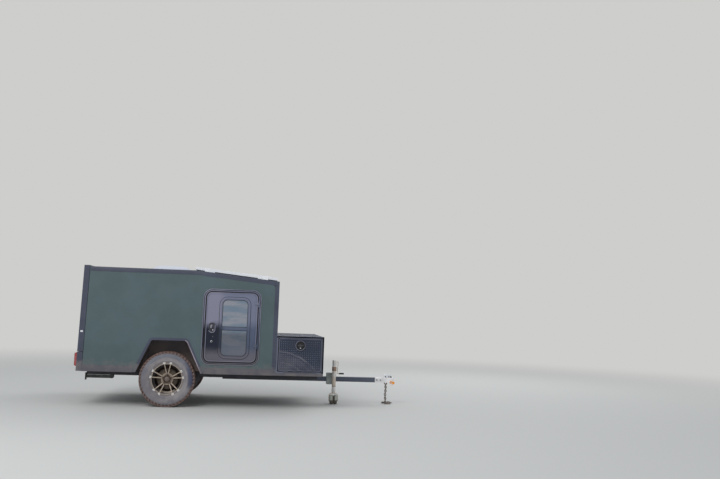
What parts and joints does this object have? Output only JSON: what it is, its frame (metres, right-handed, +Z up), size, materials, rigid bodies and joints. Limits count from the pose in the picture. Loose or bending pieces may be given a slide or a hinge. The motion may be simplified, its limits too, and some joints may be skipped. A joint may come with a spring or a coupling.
{
  "type": "squareback teardrop camping trailer",
  "caption": "Off-road squareback teardrop trailer with side doors, rear galley hatch, side-opening toolbox, roof vent, solar panel, swing-up tongue jack and ball coupler.",
  "frame": {"origin": "on the ground, under the middle of the trailer's overall length and width", "axes": "+X forwards to the coupler, +Y to the trailer's left, +Z up"},
  "size_m": [4.131, 1.877, 1.805],
  "materials": {
    "panel_green": "satin grey-green skin",
    "hatch_skin": "satin grey-green skin",
    "roof_skin": "satin grey-green skin",
    "trim_black": "satin black edge metal",
    "frame_paint": "black paint with road dust",
    "liner_black": "dusty black liner",
    "floor_board": "painted plywood",
    "plywood": "clear-coated birch plywood",
    "tread_plate": "black coated tread plate",
    "door_black": "black moulded plastic",
    "window_glass": "tinted glass",
    "lamp_red": "red lens",
    "vent_white": "white plastic",
    "solar_alu": "silver anodised",
    "solar_cells": "dark cells under glass",
    "coupler_zinc": "zinc plated",
    "latch_white": "pale plated metal",
    "chain_steel": "zinc plated, dull",
    "jack_zinc": "zinc plated, dusty",
    "caster_grey": "dusty rubber",
    "wheel_bronze": "bronze paint, dusty",
    "tyre_rubber": "dusty rubber",
    "hub_iron": "dark cast iron"
  },
  "bodies": {
    "chassis": {"frame_rails": "frame_paint", "cross_members": "frame_paint", "tongue_tube": "frame_paint", "coupler": "coupler_zinc", "coupler_latch": "latch_white", "safety_chains": "chain_steel", "axle": "frame_paint", "wheel_boxes": "liner_black", "floor_pan": "floor_board", "side_wall_right": "panel_green", "side_wall_left": "panel_green", "front_wall": "panel_green", "roof_panel": "roof_skin", "rear_valance": "trim_black", "tail_lamps": "lamp_red", "bulkhead": "plywood", "galley_shelves": "plywood", "deck": "trim_black", "toolbox_shell": "tread_plate", "vent_base": "vent_white", "solar_frame": "solar_alu", "solar_glass": "solar_cells", "solar_brackets": "solar_alu", "hatch_hinge": "trim_black", "jack_bracket": "jack_zinc", "stabiliser_brackets": "frame_paint", "door_frame_right": "door_black", "door_frame_left": "door_black"},
    "hatch": {"hatch_panel": "hatch_skin", "hatch_latches": "latch_white"},
    "vent_lid": {"vent_lid": "vent_white"},
    "jack": {"jack_tube": "jack_zinc"},
    "jack_leg": {"jack_leg": "jack_zinc"},
    "caster_fork": {"caster_fork": "jack_zinc"},
    "caster_wheel": {"caster_wheel": "caster_grey"},
    "wheel_right": {"wheel_right": "wheel_bronze", "tyre_right": "tyre_rubber", "hub_right": "hub_iron"},
    "wheel_left": {"wheel_left": "wheel_bronze", "tyre_left": "tyre_rubber", "hub_left": "hub_iron"},
    "door_right": {"door_right": "door_black", "door_glass_right": "window_glass"},
    "door_left": {"door_left": "door_black", "door_glass_left": "window_glass"},
    "toolbox_door_right": {"toolbox_door_right": "tread_plate"},
    "toolbox_door_left": {"toolbox_door_left": "tread_plate"},
    "stabiliser_right": {"stabiliser_right": "jack_zinc"},
    "stabiliser_left": {"stabiliser_left": "jack_zinc"}
  },
  "joints": [
    {"name": "wheel_right_spin", "type": "hinge", "parent": "chassis", "child": "wheel_right", "pos_m": [-0.9475, -0.802, 0.3445], "axis": [0, 1, 0], "continuous": true},
    {"name": "wheel_left_spin", "type": "hinge", "parent": "chassis", "child": "wheel_left", "pos_m": [-0.9475, 0.802, 0.3445], "axis": [0, 1, 0], "continuous": true},
    {"name": "door_right_hinge", "type": "hinge", "parent": "chassis", "child": "door_right", "pos_m": [0.1502, -0.9305, 1.0115], "axis": [0, 0, 1], "range_deg": [0, 120]},
    {"name": "door_left_hinge", "type": "hinge", "parent": "chassis", "child": "door_left", "pos_m": [0.1502, 0.9305, 1.0115], "axis": [0, 0, -1], "range_deg": [0, 120]},
    {"name": "hatch_lift", "type": "hinge", "parent": "chassis", "child": "hatch", "pos_m": [-1.9465, 0, 1.718], "axis": [0, 1, 0], "range_deg": [0, 90]},
    {"name": "toolbox_right_drop", "type": "hinge", "parent": "chassis", "child": "toolbox_door_right", "pos_m": [0.69715, -0.9205, 0.471], "axis": [1, 0, 0], "range_deg": [0, 90]},
    {"name": "toolbox_left_drop", "type": "hinge", "parent": "chassis", "child": "toolbox_door_left", "pos_m": [0.69715, 0.9205, 0.471], "axis": [-1, 0, 0], "range_deg": [0, 90]},
    {"name": "vent_lift", "type": "hinge", "parent": "chassis", "child": "vent_lid", "pos_m": [-1.3145, 0, 1.723], "axis": [0, -1, 0], "range_deg": [0, 60]},
    {"name": "jack_swing", "type": "hinge", "parent": "chassis", "child": "jack", "pos_m": [1.2135, -0.125, 0.38], "axis": [0, -1, 0], "range_deg": [0, 90]},
    {"name": "jack_extend", "type": "slide", "parent": "jack", "child": "jack_leg", "axis": [0, 0, -1], "range_m": [0, 0.25]},
    {"name": "caster_swivel", "type": "hinge", "parent": "jack_leg", "child": "caster_fork", "pos_m": [1.2135, -0.125, 0.12], "axis": [0, 0, 1], "continuous": true},
    {"name": "caster_roll", "type": "hinge", "parent": "caster_fork", "child": "caster_wheel", "pos_m": [1.2135, -0.125, 0.06], "axis": [1, 0, 0], "continuous": true},
    {"name": "stabiliser_right_fold", "type": "hinge", "parent": "chassis", "child": "stabiliser_right", "pos_m": [-1.6605, -0.59, 0.3378], "axis": [0, -1, 0], "range_deg": [0, 60]},
    {"name": "stabiliser_left_fold", "type": "hinge", "parent": "chassis", "child": "stabiliser_left", "pos_m": [-1.6605, 0.59, 0.3378], "axis": [0, -1, 0], "range_deg": [0, 60]}
  ]
}
